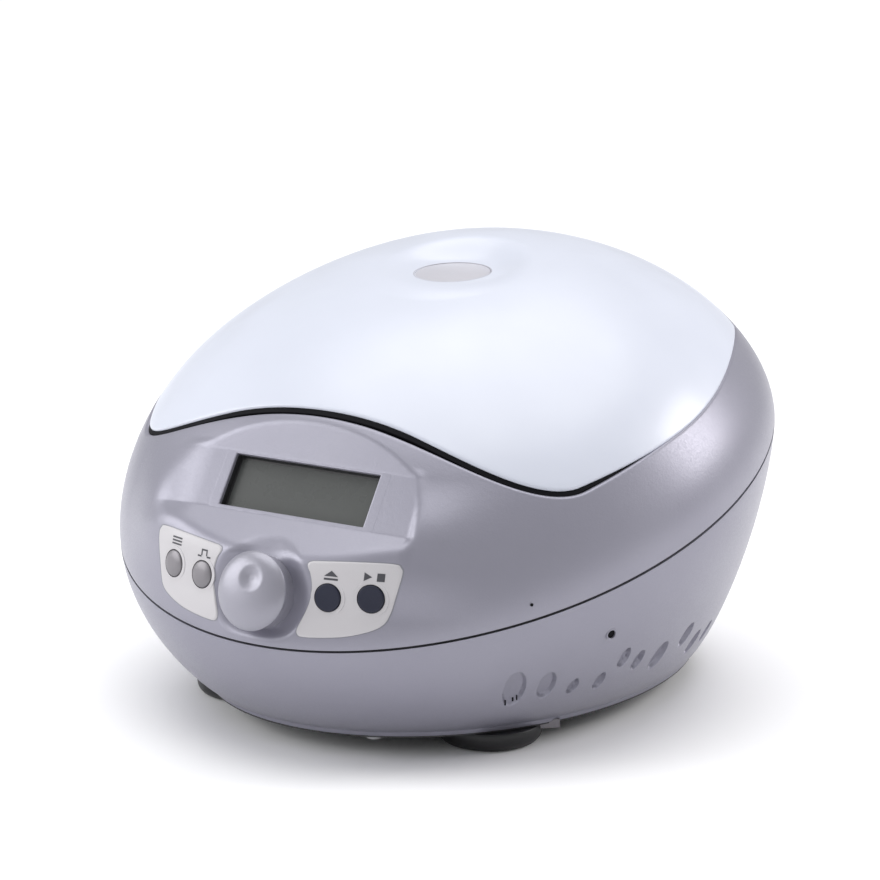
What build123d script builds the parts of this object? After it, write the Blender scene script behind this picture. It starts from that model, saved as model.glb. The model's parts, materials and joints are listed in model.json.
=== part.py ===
from build123d import *
from math import atan, cos, pi, radians, sin
import os

os.makedirs("parts", exist_ok=True)

# A bench microcentrifuge. Millimetres; +X is the user's right, -Y the front, +Z up.
# The origin lies on the bench, in the middle of the oval shell.

# ---- driving dimensions ----
HALF_W = 122.5          # half the width, at the seam between base and upper housing
HALF_D = 129.2          # half the depth, at the seam
SEAM_Z = 85.0           # seam height over the origin
SEAM_RISE = 0.3068      # climb of the seam per millimetre towards the rear
SEAM_GAP = 0.8          # half the thickness of the seam gasket
DOME_H = 75.217         # rise of the dome over the seam
DOME_P = (1.25, 1.955, 1.069)   # dome fullness over height: front, side, rear
DOME_Q = (2.399, 2.208, 3.232)  # dome roundness in plan: front, side, rear
BASE_Z = 9.457          # underside of the base shell
WALL = 2.6              # moulded wall
LID_FRONT = -84.0       # the lid's front edge is cut upright here
LID_H = 34.5            # the lid's side edge lies this far over the seam
LID_CORNER = 16.0       # rounding of the lid's front corners
DECK_H = 29.3           # deck under the lid, over the seam
AXIS_Y = 3.4            # the rotor's axis
CHAMBER_R = 68.0        # inside of the rotor chamber
CHAMBER_Z = 58.0        # floor of the rotor chamber
ROTOR_R = 60.0          # largest radius of the rotor
SHAFT_R = 4.0           # motor shaft
HINGE_Y, HINGE_Z = 102.5, 146.5   # hinge axis
HINGE_X = 14.0          # each hinge's distance from the middle
PIN_R = 1.5             # hinge pin
KNOB_R = 13.8           # control knob
BUTTON_R = 5.3          # push buttons
LCD_W, LCD_H = 62.0, 20.1         # display window
PLATE_Z = 7.2           # underside of the bottom plate
FOOT_X, FOOT_Y = 54.0, 57.5       # feet
RUN = 0.05              # radial clearance of a running fit

TILT = atan(SEAM_RISE)


# ---- shapes shared by several pieces ----
def level(h):
    """A plane parallel to the seam, h over it."""
    return Plane(origin=(0, 0, SEAM_Z + h), x_dir=(1, 0, 0), z_dir=(0, -sin(TILT), cos(TILT)))


def mixed(front, side, rear, a):
    f, r = max(-sin(a), 0) ** 2, max(sin(a), 0) ** 2
    return front * f + rear * r + side * (1 - f - r)


def dome_outline(h, inset, count=32):
    rise = max(h, 0) / (DOME_H - inset)
    lean = -17.414 * max(h, 0) / DOME_H - 2.703 * (max(h, 0) / DOME_H) ** 2
    points = []
    for i in range(count):
        a = 2 * pi * i / count
        g = (1 - rise ** mixed(*DOME_P, a)) ** (1 / mixed(*DOME_Q, a))
        x = (HALF_W - inset) * g * cos(a)
        y = (HALF_D - inset) * g * sin(a) + lean
        points.append((x, y / cos(TILT)))
    return points


def dome(inset, low):
    """The solid under the dome, shrunk by inset, from the level `low` upwards."""
    top = DOME_H - inset
    heights = [low] + [top * sin(radians(d)) for d in (10, 20, 30, 40, 50, 60, 69, 77, 83, 87)
                       if top * sin(radians(d)) > low + 3]
    with BuildPart(mode=Mode.PRIVATE) as p:
        for h in heights:
            with BuildSketch(level(h)):
                with BuildLine():
                    Spline(dome_outline(h, inset), periodic=True)
                make_face()
        loft()
    return p.part


def bowl(inset, low, high):
    """The solid of the base bowl, shrunk by inset; s runs from 0 at the seam to 1 below."""
    with BuildPart(mode=Mode.PRIVATE) as p:
        for s in (high, 0.12, 0.27, 0.43, 0.58, 0.72, 0.86, low):
            rise = SEAM_RISE * (1 - min(max(s, 0), 1))
            z = SEAM_Z - SEAM_GAP * (1 - s) + (BASE_Z - SEAM_Z) * s
            turn = atan(rise)
            points = []
            for i in range(32):
                a = 2 * pi * i / 32
                m = 1 - (1 - min(max(s, 0), 1) ** mixed(2.07, 1.467, 0.8, a)) ** (1 / 1.256)
                x = (HALF_W * (1 - 0.28 * m) - inset) * cos(a)
                y = (HALF_D * (1 - 0.145 * m) - inset) * sin(a) + 5.364 * s
                points.append((x, y / cos(turn)))
            with BuildSketch(Plane(origin=(0, 0, z), x_dir=(1, 0, 0),
                                   z_dir=(0, -sin(turn), cos(turn)))):
                with BuildLine():
                    Spline(points, periodic=True)
                make_face()
        loft()
    return p.part


def lid_zone(front, h, corner=LID_CORNER, half=150):
    """Everything behind the upright plane y = front and over the level h."""
    def z(y):
        return SEAM_Z + h + SEAM_RISE * y
    with BuildPart(mode=Mode.PRIVATE) as p:
        with BuildSketch(Plane.YZ) as s:
            with BuildLine():
                Polyline((front, z(front)), (front, 300), (220, 300), (220, z(220)), close=True)
            make_face()
            fillet(s.vertices().sort_by(Axis.Y)[0], corner)
        extrude(amount=half, both=True)
    return p.part


def rod(r, length, plane):
    """A cylinder standing on a plane."""
    return plane * Cylinder(r, length, align=(Align.CENTER, Align.CENTER, Align.MIN), mode=Mode.PRIVATE)


def block(lo, hi):
    size = [b - a for a, b in zip(lo, hi)]
    return Pos(*[(a + b) / 2 for a, b in zip(lo, hi)]) * Box(*size, mode=Mode.PRIVATE)


def facing(point, azimuth, pitch):
    """A plane at a point of the front panel; azimuth turns to +X, pitch tips it up."""
    a, p = radians(azimuth), radians(pitch)
    return Plane(origin=point, x_dir=(cos(a), sin(a), 0),
                 z_dir=(sin(a) * cos(p), -cos(a) * cos(p), sin(p)))


def upright(z):
    return Plane(origin=(0, AXIS_Y, z))


def save(part, name):
    part.label = name
    export_step(part, f"parts/{name}.step")


SCREEN = Plane(origin=(0, -99.95, 95.1), x_dir=(1, 0, 0), z_dir=(0, -sin(radians(54.5)), cos(radians(54.5))))
WINDOW = Plane(origin=(0, AXIS_Y, 157.2), x_dir=(1, 0, 0), z_dir=(0, -sin(radians(13.5)), cos(radians(13.5))))
KNOB = facing((0, -129, 64.7), 0, 16)
BOARD = KNOB.offset(-27.1)
BOLT = Plane(origin=(0, -76, 84.5), x_dir=(0, 1, 0), z_dir=(1, 0, 0))
BUTTONS = {
    "button_select": facing((-42.3, -117.2, 65.6), -16.7, 17.9),
    "button_pulse": facing((-27, -121.4, 64.7), -10.8, 17.9),
    "button_lid": facing((27, -121.4, 64.7), 10.8, 17.9),
    "button_run": facing((42.3, -117.2, 65.6), 16.7, 17.9),
}

DOME_OUT = dome(0, SEAM_GAP)
DOME_IN = dome(WALL, -6)
LID_ZONE = lid_zone(LID_FRONT, LID_H)


def scoop(deeper):
    """The hollow around the display, or the same hollow thickened inwards."""
    floor = SCREEN.offset(-deeper)
    grow = deeper * 1.1
    with BuildPart(mode=Mode.PRIVATE) as p:
        with BuildSketch(floor) as s:
            with BuildLine():
                top = ThreePointArc((-43 - grow, 14 + grow), (0, 22.5 + grow), (43 + grow, 14 + grow))
                low = ThreePointArc((46 + grow, -14 - grow), (0, -16 - grow), (-46 - grow, -14 - grow))
                Line(top @ 1, (49.5 + grow, 2))
                Line((49.5 + grow, 2), low @ 0)
                Line(low @ 1, (-49.5 - grow, 2))
                Line((-49.5 - grow, 2), top @ 0)
            make_face()
            fillet(s.vertices(), 5)
        extrude(amount=26, taper=-22)
    return p.part


def deck_recess(low, front, inset):
    """The shallow tray inside the lip that the lid closes over."""
    with BuildPart(mode=Mode.PRIVATE) as p:
        with BuildSketch(level(low)):
            with BuildLine():
                Spline(dome_outline(LID_H, inset), periodic=True)
            make_face()
        extrude(amount=40)
        add(lid_zone(front, low, 3), mode=Mode.INTERSECT)
    return p.part


# ---- label panels, let into the housing's surface on either side of the knob ----
def label_blank(side):
    outline = [(20.8, 76.6), (48.5, 77.6), (52.9, 73.8), (50.4, 61.4), (47, 57),
               (35.8, 52.5), (20.2, 51.2), (18.4, 53.5), (21.6, 62), (21.8, 68)]
    with BuildPart(mode=Mode.PRIVATE) as p:
        with BuildSketch(Plane.XZ.offset(100)):
            with BuildLine():
                Polyline([(side * x, z) for x, z in outline], close=True)
            make_face()
        extrude(amount=50)
        add(LABEL_SKIN, mode=Mode.INTERSECT)
    return p.part


LABEL_SKIN = DOME_OUT - dome(0.5, -2)
BLANKS = {"label_panel_right": label_blank(1), "label_panel_left": label_blank(-1)}
for name, blank in BLANKS.items():
    with BuildPart() as panel:
        add(blank)
        for plane in BUTTONS.values():
            with BuildSketch(plane.offset(-9)):
                Circle(BUTTON_R + 0.45)
            extrude(amount=14, mode=Mode.SUBTRACT)
    save(panel.part, name)

# ---- upper housing, with the deck under the lid and the hollow for the display ----
outer = DOME_OUT - lid_zone(LID_FRONT - 1.8, LID_H - 1.2) - deck_recess(DECK_H, -80, 7.5) - scoop(0)
outer = outer - rod(15.0, 30, KNOB.offset(-9))
inner = DOME_IN - lid_zone(LID_FRONT - 3.4, LID_H - 3.6) - deck_recess(DECK_H - 2.4, -83, 5.2) - scoop(2.0)
inner = inner - rod(17.0, 30, KNOB.offset(-11))
with BuildPart() as upper_housing:
    add(outer)
    add(inner, mode=Mode.SUBTRACT)
    for blank in BLANKS.values():
        add(blank, mode=Mode.SUBTRACT)
    with BuildSketch(Plane.XY.offset(88)):                        # rotor chamber
        with Locations((0, AXIS_Y)):
            Circle(CHAMBER_R + 1.6)
    extrude(amount=80, mode=Mode.SUBTRACT)
    with BuildSketch(SCREEN.offset(-5)):                          # display window
        Rectangle(LCD_W, LCD_H)
    extrude(amount=12, mode=Mode.SUBTRACT)
    with BuildSketch(KNOB.offset(-16)):                           # knob shaft
        Circle(3.6)
    extrude(amount=10, mode=Mode.SUBTRACT)
    for plane in BUTTONS.values():
        with BuildSketch(plane.offset(-9)):
            Circle(BUTTON_R + 0.45)
        extrude(amount=14, mode=Mode.SUBTRACT)
    with BuildSketch(Plane.XY.offset(82)):                        # latch slot
        with Locations((0, -78.25)):
            Rectangle(8, 12.5)
    extrude(amount=18, mode=Mode.SUBTRACT)
    with BuildSketch(Plane.XY.offset(141)):                       # hinge pockets
        with Locations((-HINGE_X, 101.5), (HINGE_X, 101.5)):
            Rectangle(17.6, 27)
    extrude(amount=30, mode=Mode.SUBTRACT)
    for c in (-HINGE_X, HINGE_X):
        add(block((c - 8.5, 92, 139), (c + 8.5, 107.5, 141)), mode=Mode.SUBTRACT)
save(upper_housing.part, "upper_housing")

# ---- seam gasket, its lip standing inside the walls ----
with BuildPart() as seam_gasket:
    with BuildSketch(level(-SEAM_GAP)):
        with BuildLine():
            Spline(dome_outline(0, 0.7), periodic=True)
        make_face()
        with BuildLine(mode=Mode.PRIVATE) as hole:
            Spline(dome_outline(0, WALL + 0.4), periodic=True)
        make_face(hole.edges(), mode=Mode.SUBTRACT)
    extrude(amount=2 * SEAM_GAP * cos(TILT))
save(seam_gasket.part, "seam_gasket")

# ---- base shell: side vents, release hole and the flat pocket for the mains inlet ----
VENTS = ((79, -83.7, 29.3, 8.8, 18), (86.9, -72.4, 29.2, 7.8, 12.4), (91.3, -60.7, 26.5, 4.8, 8),
         (96, -49, 26.1, 5.8, 8.8), (103, -44, 34.7, 6, 10), (103.6, -34, 31.2, 7, 10.8),
         (104.6, -20.2, 29.2, 10.8, 15), (107.9, -4.8, 34, 9, 13), (103.2, 9.2, 26.8, 10, 13),
         (101.4, 22, 27.5, 8, 12))
RELEASE = Plane(origin=(104.4, -57.6, 47.2), x_dir=(0, 0, 1), z_dir=(0.83, -0.5, -0.25))

bowl_out = bowl(0, 1, 0) - block((-46, 106, 20), (46, 150, 60))
bowl_in = bowl(WALL, 1.02, -0.02) - block((-48.4, 103.6, 17.6), (48.4, 150, 62.4))
with BuildPart() as base_shell:
    add(bowl_out)
    add(bowl_in, mode=Mode.SUBTRACT)
    for side in (-1, 1):
        for x, y, z, w, h in VENTS:
            n = Vector(x / HALF_W ** 2, y / HALF_D ** 2, -0.004).normalized()
            face = Plane(origin=(side * x, y, z), x_dir=(0, 1, 0), z_dir=(side * n.X, n.Y, n.Z))
            with BuildSketch(Plane(origin=face.origin - face.z_dir * 1.2,
                                   x_dir=Vector(0, 0, 1).cross(face.z_dir), z_dir=face.z_dir)):
                Ellipse(w / 2, h / 2)
            extrude(amount=6, mode=Mode.SUBTRACT)
    with BuildSketch(RELEASE.offset(-8)):
        Circle(1.7)
    extrude(amount=16, mode=Mode.SUBTRACT)
    with BuildSketch(Plane.XZ.offset(-98)):                       # inlet and switch cut-outs
        with Locations((-20, 40)):
            Rectangle(28, 34)
        with Locations((24, 40)):
            Rectangle(13, 20)
    extrude(amount=-14, mode=Mode.SUBTRACT)
save(base_shell.part, "base_shell")

# ---- bottom plate with cooling slots, its screws and the four feet ----
FEET = {"foot_front_left": (-FOOT_X, -FOOT_Y), "foot_front_right": (FOOT_X, -FOOT_Y),
        "foot_rear_left": (-FOOT_X, FOOT_Y), "foot_rear_right": (FOOT_X, FOOT_Y)}
PLATE_SCREWS = ((-27, -93), (27, -93), (-80, 10), (80, 10), (-30, 101), (30, 101))
with BuildPart() as bottom_plate:
    with BuildSketch(Plane.XY.offset(PLATE_Z)):
        with Locations((0, 5.364)):
            Ellipse(HALF_W * 0.72 - 0.8, HALF_D * 0.855 - 0.8)
    extrude(amount=BASE_Z - PLATE_Z)
    with BuildSketch(Plane.XY.offset(PLATE_Z)):
        with GridLocations(0, 7, 1, 5):
            SlotOverall(44, 3)
        with Locations(*FEET.values()):
            Circle(2.1)
        with Locations(*PLATE_SCREWS):
            Circle(1.6)
    extrude(amount=5, mode=Mode.SUBTRACT)
save(bottom_plate.part, "bottom_plate")

with BuildPart() as plate_screws:
    for x, y in PLATE_SCREWS:
        with BuildSketch(Plane.XY.offset(PLATE_Z - 1.6)):
            with Locations((x, y)):
                Circle(3.2)
        extrude(amount=1.6)
        with BuildSketch(Plane.XY.offset(PLATE_Z)):
            with Locations((x, y)):
                Circle(1.6)
        extrude(amount=7)
save(plate_screws.part, "plate_screws")

for name, (x, y) in FEET.items():
    with BuildPart() as foot:
        with BuildSketch(Plane.XZ) as s:
            with BuildLine():
                Polyline((4, 0.8), (16.5, 0), (19, 0), (19, 1.6), (11.5, 3.4), (9, 4.4), (9, 5.4),
                         (12, PLATE_Z), (2.1, PLATE_Z), (2.1, 3), (4, 3), close=True)
            make_face()
        revolve(axis=Axis.Z)
    save(foot.part.moved(Location((x, y, 0))), name)

with BuildPart() as foot_screws:
    for x, y in FEET.values():
        with BuildSketch(Plane.XY.offset(3)):
            with Locations((x, y)):
                Circle(2.1)
        extrude(amount=11)
        with BuildSketch(Plane.XY.offset(BASE_Z)):
            with Locations((x, y)):
                RegularPolygon(4, 6)
                Circle(2.1, mode=Mode.SUBTRACT)
        extrude(amount=3)
save(foot_screws.part, "foot_screws")

# ---- rotor chamber: deep bowl whose flange lies on the sloping deck ----
with BuildPart() as chamber_bowl:
    add(rod(CHAMBER_R + 1.3, 110, upright(CHAMBER_Z)))
    add(rod(CHAMBER_R, 120, upright(CHAMBER_Z + 1.3)), mode=Mode.SUBTRACT)
    with BuildSketch(level(DECK_H)):
        with Locations((0, AXIS_Y / cos(TILT))):
            Ellipse(73, 73 / cos(TILT))
            Ellipse(CHAMBER_R, CHAMBER_R / cos(TILT), mode=Mode.SUBTRACT)
    extrude(amount=1.2)
    add(lid_zone(-200, DECK_H + 1.2 / cos(TILT), 1), mode=Mode.SUBTRACT)
    with BuildSketch(Plane.XY.offset(CHAMBER_Z - 1)):
        with Locations((0, AXIS_Y)):
            Circle(10)
    extrude(amount=5, mode=Mode.SUBTRACT)
save(chamber_bowl.part, "chamber_bowl")

with BuildPart() as chamber_gasket:
    with BuildSketch(level(DECK_H + 1.2 / cos(TILT))):
        with Locations((0, AXIS_Y / cos(TILT))):
            Ellipse(72.5, 72.5 / cos(TILT))
            Ellipse(68.5, 68.5 / cos(TILT), mode=Mode.SUBTRACT)
    extrude(amount=3.2)
save(chamber_gasket.part, "chamber_gasket")

with BuildPart() as shaft_boot:
    with BuildSketch(Plane.XZ.offset(-AXIS_Y)):
        with BuildLine():
            Polyline((7, 55.4), (10, 55.4), (10, CHAMBER_Z + 1.3), (12.5, CHAMBER_Z + 1.3),
                     (12.5, CHAMBER_Z + 2.3), (6.2, CHAMBER_Z + 5), (5, CHAMBER_Z + 5), (5, CHAMBER_Z + 4),
                     (7, CHAMBER_Z + 2), close=True)
        make_face()
    revolve(axis=Axis((0, AXIS_Y, 0), (0, 0, 1)))
save(shaft_boot.part, "shaft_boot")

# ---- motor on its sprung plate ----
MOTOR_R, MOTOR_LOW, MOTOR_TOP = 31.0, 14.0, 49.0
with BuildPart() as motor_can:
    add(rod(MOTOR_R, MOTOR_TOP - MOTOR_LOW, upright(MOTOR_LOW)))
    add(rod(MOTOR_R - 2.5, MOTOR_TOP - MOTOR_LOW, upright(MOTOR_LOW + 3)), mode=Mode.SUBTRACT)
    add(rod(8, 4, upright(MOTOR_LOW + 3)))
    add(rod(SHAFT_R + RUN, 6, upright(MOTOR_LOW + 1.5)), mode=Mode.SUBTRACT)
save(motor_can.part, "motor_can")

with BuildPart() as motor_cap:
    add(rod(MOTOR_R, 1.6, upright(MOTOR_TOP)))
    add(rod(9, 4, upright(MOTOR_TOP - 3)))
    add(rod(SHAFT_R + RUN, 10, upright(MOTOR_TOP - 4)), mode=Mode.SUBTRACT)
save(motor_cap.part, "motor_cap")

with BuildPart() as motor_plate:
    add(rod(52, 2.4, upright(MOTOR_TOP + 1.6)))
    add(rod(6.5, 6, upright(MOTOR_TOP)), mode=Mode.SUBTRACT)
save(motor_plate.part, "motor_plate")

with BuildPart() as motor_dampers:
    with BuildSketch(Plane.XY.offset(39)):
        with Locations((0, AXIS_Y)):
            with PolarLocations(44, 3, 30):
                Circle(6)
    extrude(amount=MOTOR_TOP + 1.6 - 39)
save(motor_dampers.part, "motor_dampers")

with BuildPart() as motor_posts:
    with BuildSketch(Plane.XY.offset(BASE_Z)):
        with Locations((0, AXIS_Y)):
            with PolarLocations(44, 3, 30):
                Circle(5)
    extrude(amount=39 - BASE_Z)
    with BuildSketch(Plane.XY.offset(BASE_Z)):
        with Locations((0, AXIS_Y)):
            with PolarLocations(44, 3, 30):
                Circle(8)
    extrude(amount=2)
save(motor_posts.part, "motor_posts")

with BuildPart() as motor_core:
    add(rod(24, 20, upright(MOTOR_LOW + 8)))
    add(rod(SHAFT_R, 24, upright(MOTOR_LOW + 7)), mode=Mode.SUBTRACT)
save(motor_core.part, "motor_core")

with BuildPart() as motor_shaft:
    add(rod(SHAFT_R, 78, upright(MOTOR_LOW + 2)))
save(motor_shaft.part, "motor_shaft")

# ---- rotor with its slanting wells, cover and nut ----
ROTOR_Z = 68.0
WELLS = 12
with BuildPart() as rotor:
    with BuildSketch(Plane.XZ.offset(-AXIS_Y)) as s:
        with BuildLine():
            Polyline((SHAFT_R, ROTOR_Z + 4), (14, ROTOR_Z + 4), (18, ROTOR_Z), (54, ROTOR_Z),
                     (ROTOR_R, ROTOR_Z + 5), (ROTOR_R, ROTOR_Z + 11), (40, ROTOR_Z + 33),
                     (28, ROTOR_Z + 33), (21, ROTOR_Z + 22), (SHAFT_R, ROTOR_Z + 22), close=True)
        make_face()
        fillet(s.vertices().sort_by(Axis.X)[-2:], 1.5)
    revolve(axis=Axis((0, AXIS_Y, 0), (0, 0, 1)))
    for i in range(WELLS):
        a = 2 * pi * i / WELLS
        out = Vector(cos(a), sin(a), 0)
        axis = (out - Vector(0, 0, 1)).normalized()
        mouth = Vector(0, AXIS_Y, ROTOR_Z + 30) + out * 32
        with BuildSketch(Plane(origin=mouth - axis * 12, z_dir=axis)):
            Circle(5.5)
        extrude(amount=41, mode=Mode.SUBTRACT)
save(rotor.part, "rotor")

with BuildPart() as rotor_cover:
    with BuildSketch(Plane.XZ.offset(-AXIS_Y)):
        with BuildLine():
            Polyline((SHAFT_R + 0.5, ROTOR_Z + 22), (13, ROTOR_Z + 22), (17, ROTOR_Z + 35),
                     (40, ROTOR_Z + 35), (40, ROTOR_Z + 33), (41.8, ROTOR_Z + 33), (41.8, ROTOR_Z + 36.6),
                     (15.8, ROTOR_Z + 36.6), (12, ROTOR_Z + 24), (SHAFT_R + 0.5, ROTOR_Z + 24), close=True)
        make_face()
    revolve(axis=Axis((0, AXIS_Y, 0), (0, 0, 1)))
save(rotor_cover.part, "rotor_cover")

with BuildPart() as rotor_nut:
    add(rod(8.5, 12, upright(ROTOR_Z + 24.3)))
    add(rod(11, 8, upright(ROTOR_Z + 34)))
    with BuildSketch(Plane.XY.offset(ROTOR_Z + 34)):
        with Locations((0, AXIS_Y)):
            with PolarLocations(11.6, 12):
                Circle(1.6)
    extrude(amount=8, mode=Mode.SUBTRACT)
    add(rod(SHAFT_R + RUN, 6, upright(ROTOR_Z + 24)), mode=Mode.SUBTRACT)
save(rotor_nut.part, "rotor_nut")

# ---- lid: shell, inner liner, seal, window, latch hook ----
def dish(deeper):
    """The shallow bowl that the window sits in."""
    return WINDOW.offset(-deeper) * Cone(17 + deeper * 0.9, 33 + deeper * 0.9, 5.5,
                                         align=(Align.CENTER, Align.CENTER, Align.MIN),
                                         mode=Mode.PRIVATE)


lid_outer = (dome(0, 28) & LID_ZONE) - dish(0)
lid_inner = dome(WALL, 26) - dish(2.2)
with BuildPart() as lid_shell:
    add(lid_outer)
    add(lid_inner, mode=Mode.SUBTRACT)
    add(rod(15, 20, WINDOW.offset(-10)), mode=Mode.SUBTRACT)
    with BuildSketch(Plane.XY.offset(130)):                       # notches for the hinge arms
        with Locations((-HINGE_X, 102.7), (HINGE_X, 102.7)):
            Rectangle(17.6, 19.6)
    extrude(amount=24.2, mode=Mode.SUBTRACT)
save(lid_shell.part, "lid_shell")

liner_outer = (dome(WALL + 0.4, 26) & lid_zone(LID_FRONT + 1.2, LID_H + 0.6, 14)) - dish(2.6)
liner_inner = (dome(WALL + 2.2, 26) & lid_zone(LID_FRONT + 3, LID_H + 2.6, 12)) - dish(4.4)
with BuildPart() as lid_liner:
    add(liner_outer)
    add(liner_inner, mode=Mode.SUBTRACT)
    add(rod(66, 80, upright(60)) & (lid_zone(-200, LID_H - 20, 1) - lid_zone(-200, LID_H + 4, 1)),
        mode=Mode.SUBTRACT)
    add(rod(19.5, 40, WINDOW.offset(-20)), mode=Mode.SUBTRACT)
    with BuildSketch(Plane.XY.offset(120)):
        with Locations((-HINGE_X, 104), (HINGE_X, 104)):
            Rectangle(18.4, 32)
    extrude(amount=34.6, mode=Mode.SUBTRACT)
save(lid_liner.part, "lid_liner")

with BuildPart() as lid_seal:
    with BuildSketch(level(LID_H + 0.6)):
        with Locations((0, AXIS_Y / cos(TILT))):
            Ellipse(73.4, 73.4 / cos(TILT))
            Ellipse(67.6, 67.6 / cos(TILT), mode=Mode.SUBTRACT)
    extrude(amount=-0.5)
save(lid_seal.part, "lid_seal")

save(rod(15, 2.0, WINDOW.offset(-2.0)), "window_pane")

with BuildPart() as window_ring:
    with BuildSketch(WINDOW.offset(-4.2)):
        Circle(18.2)
        Circle(12.8, mode=Mode.SUBTRACT)
    extrude(amount=2.0)
    with BuildSketch(WINDOW.offset(-2.2)):
        Circle(15)
        Circle(12.8, mode=Mode.SUBTRACT)
    extrude(amount=0.2)
save(window_ring.part, "window_ring")

with BuildPart() as latch_hook:
    add(block((-1.5, -79.5, 80), (1.5, -72.5, 110)) - lid_zone(-200, LID_H + 0.6, 1))
    add(block((-3, -78.4, 82.1), (3, -73.6, 86.9)), mode=Mode.SUBTRACT)
save(latch_hook.part, "latch_hook")

with BuildPart() as lid_bumpers:
    with BuildSketch(level(LID_H + 0.6)):
        with Locations((-88.5, -57), (88.5, -57), (-95.5, 20), (95.5, 20)):
            SlotOverall(8, 5, rotation=90)
    extrude(amount=-1.3)
save(lid_bumpers.part, "lid_bumpers")

# ---- hinges: arms ride with the lid, brackets, pins and springs stay ----
HINGE_AXIS = Plane(origin=(0, HINGE_Y, HINGE_Z), x_dir=(0, 1, 0), z_dir=(1, 0, 0))


def tube(x0, x1, r, bore):
    return rod(r, x1 - x0, HINGE_AXIS.offset(x0)) - rod(bore, x1 - x0, HINGE_AXIS.offset(x0))


with BuildPart() as hinge_arms:
    for c in (-HINGE_X, HINGE_X):
        with BuildSketch(Plane.YZ.offset(c - 3.5)):
            with BuildLine():
                Polyline((78, 144.03), (92, 148.3), (96, 149.0), (100.5, 149.0), (HINGE_Y, HINGE_Z),
                         (101.5, 144.4), (96, 144.8), (92, 145.2), (78, 141.8), close=True)
            make_face()
        extrude(amount=7)
        add(rod(2.8, 7, HINGE_AXIS.offset(c - 3.5)))
        add(rod(PIN_R + RUN, 12, HINGE_AXIS.offset(c - 6)), mode=Mode.SUBTRACT)
save(hinge_arms.part, "hinge_arms")

with BuildPart() as hinge_brackets:
    for c in (-HINGE_X, HINGE_X):
        add(block((c - 8.5, 92, 139), (c + 8.5, 107.5, 141)))
        for x in (c - 8.5, c + 6.3):
            add(block((x, 98.5, 141), (x + 2.2, 106, HINGE_Z)) + rod(2.7, 2.2, HINGE_AXIS.offset(x)))
        add(rod(PIN_R, 20, HINGE_AXIS.offset(c - 10)), mode=Mode.SUBTRACT)
save(hinge_brackets.part, "hinge_brackets")

with BuildPart() as hinge_pins:
    for c in (-HINGE_X, HINGE_X):
        add(rod(PIN_R, 17, HINGE_AXIS.offset(c - 8.5)))
save(hinge_pins.part, "hinge_pins")

with BuildPart() as hinge_springs:
    for c in (-HINGE_X, HINGE_X):
        for x in (c - 6.1, c + 3.8):
            add(tube(x, x + 2.3, 2.3, PIN_R + 0.02))
save(hinge_springs.part, "hinge_springs")

# ---- latch: solenoid under the deck, its bolt crosses the hook when the rotor runs ----
with BuildPart() as latch_bolt:
    add(rod(1.6, 29, BOLT.offset(3)))
    add(rod(2.9, 3, BOLT.offset(32)))
save(latch_bolt.part, "latch_bolt")

with BuildPart() as latch_solenoid:
    add(block((12, -82, 78.5), (25, -71, 88.5)) - lid_zone(-200, DECK_H - 3.3, 1))
    add(rod(1.6 + RUN, 30, BOLT.offset(10)), mode=Mode.SUBTRACT)
    add(block((12, -82, 76.1), (38, -71, 78.5)))
save(latch_solenoid.part, "latch_solenoid")

with BuildPart() as release_plunger:
    add(rod(1.4, 14, RELEASE.offset(-18)))
    add(rod(3.0, 2, RELEASE.offset(-18)))
save(release_plunger.part, "release_plunger")

with BuildPart() as release_guide:
    add(rod(3.6, 6, RELEASE.offset(-13)))
    add(rod(1.4 + RUN, 8, RELEASE.offset(-14)), mode=Mode.SUBTRACT)
save(release_guide.part, "release_guide")

# ---- display, control board, encoder, knob and buttons ----
with BuildPart() as display_lens:
    with BuildSketch(SCREEN.offset(-3)):
        Rectangle(LCD_W + 5, LCD_H + 2.4)
    extrude(amount=1)
save(display_lens.part, "display_lens")

with BuildPart() as display_module:
    with BuildSketch(SCREEN.offset(-6.2)):
        Rectangle(LCD_W + 8, LCD_H + 3)
    extrude(amount=3.2)
save(display_module.part, "display_module")

with BuildPart() as control_board:
    with BuildSketch(BOARD) as s:
        with Locations((0, 6)):
            Rectangle(96, 34)
        fillet(s.vertices(), 3)
    extrude(amount=1.6)
save(control_board.part, "control_board")

with BuildPart() as encoder:
    with BuildSketch(KNOB.offset(-25.5)):
        Rectangle(13, 13)
    extrude(amount=6)
    with BuildSketch(KNOB.offset(-19.5)):
        Circle(4.5)
    extrude(amount=5)
    add(rod(3 + RUN, 12, KNOB.offset(-23)), mode=Mode.SUBTRACT)
save(encoder.part, "encoder")

with BuildPart() as encoder_shaft:
    add(rod(3, 18, KNOB.offset(-22.5)))
save(encoder_shaft.part, "encoder_shaft")

with BuildPart() as knob:
    with BuildSketch(Plane.XZ) as s:
        with BuildLine():
            Line((0, -8), (KNOB_R - 0.6, -8))
            Line((KNOB_R - 0.6, -8), (KNOB_R, -1.5))
            Spline((KNOB_R, -1.5), (KNOB_R * 0.9, 0.35), (KNOB_R * 0.55, 1.7), (0, 2.4),
                   tangents=((0, 1), (-1, 0)))
            Line((0, 2.4), (0, -8))
        make_face()
    revolve(axis=Axis.Z)
    add(rod(3, 4, Plane.XY.offset(-8.5)), mode=Mode.SUBTRACT)
save(KNOB.location * knob.part, "knob")

for name, plane in BUTTONS.items():
    with BuildPart() as button:
        with BuildSketch(plane.offset(-6.5)):
            Circle(BUTTON_R)
        extrude(amount=7.3)
        with BuildSketch(plane.offset(-6.5)):
            Circle(BUTTON_R + 1.3)
        extrude(amount=1.3)
    save(button.part, name)

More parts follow.
